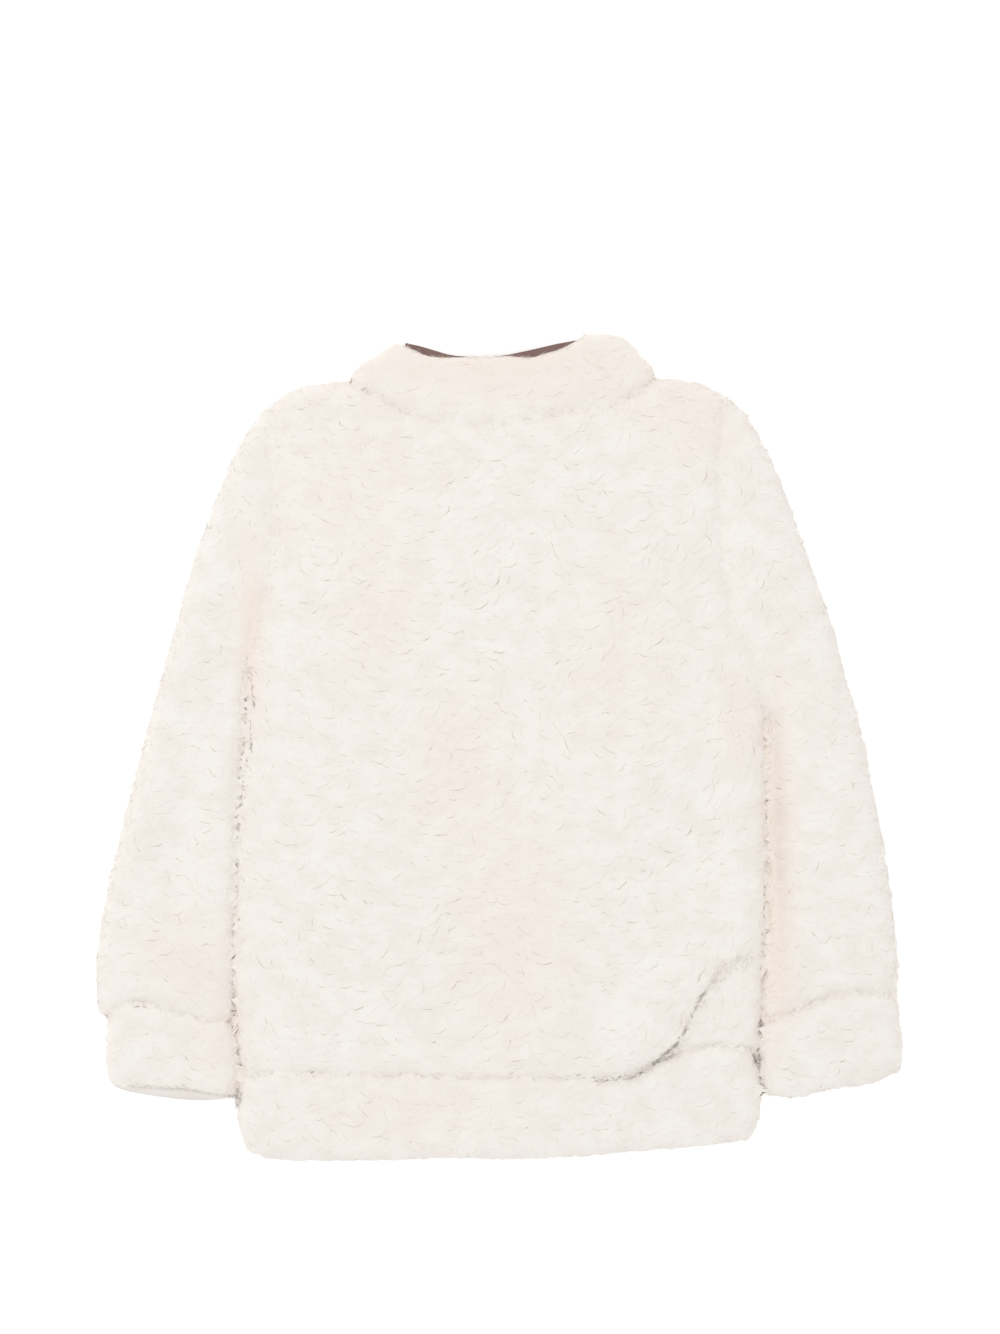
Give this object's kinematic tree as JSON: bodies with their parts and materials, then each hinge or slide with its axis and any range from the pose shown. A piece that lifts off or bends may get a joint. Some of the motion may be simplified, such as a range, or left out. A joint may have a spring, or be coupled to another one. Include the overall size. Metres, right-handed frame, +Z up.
{
  "type": "zip-up fleece sweatshirt",
  "caption": "Child's long-pile fleece sweatshirt laid flat on its zip front, back up, with standing collar, turned cuffs and hem band.",
  "frame": {"origin": "under the middle of the garment's box, on the surface that it lies on", "axes": "+X towards the wearer's right sleeve, +Y towards the collar, +Z up from the surface, out of the garment's back"},
  "size_m": [0.523, 0.5348, 0.0231],
  "materials": {
    "fleece": "cream long-pile fleece, matt with a soft sheen",
    "twill": "dark brown cotton twill tape",
    "zip_tape": "cream woven polyester",
    "zip_metal": "satin nickel"
  },
  "bodies": {
    "garment": {"back": "fleece", "front_left": "fleece", "front_right": "fleece", "sleeve_left": "fleece", "sleeve_right": "fleece", "cuff_left": "fleece", "cuff_right": "fleece", "hem_band": "fleece", "collar": "fleece", "neck_tape": "twill", "zip_tape_left": "zip_tape", "zip_tape_right": "zip_tape", "zip_slider": "zip_metal"},
    "pull": {"zip_pull": "zip_metal"}
  },
  "joints": [
    {"name": "zip_pull_hinge", "type": "hinge", "parent": "garment", "child": "pull", "pos_m": [0.00043, 0.22598, 0.0028], "axis": [1, 0, 0], "range_deg": [0, 175]}
  ]
}
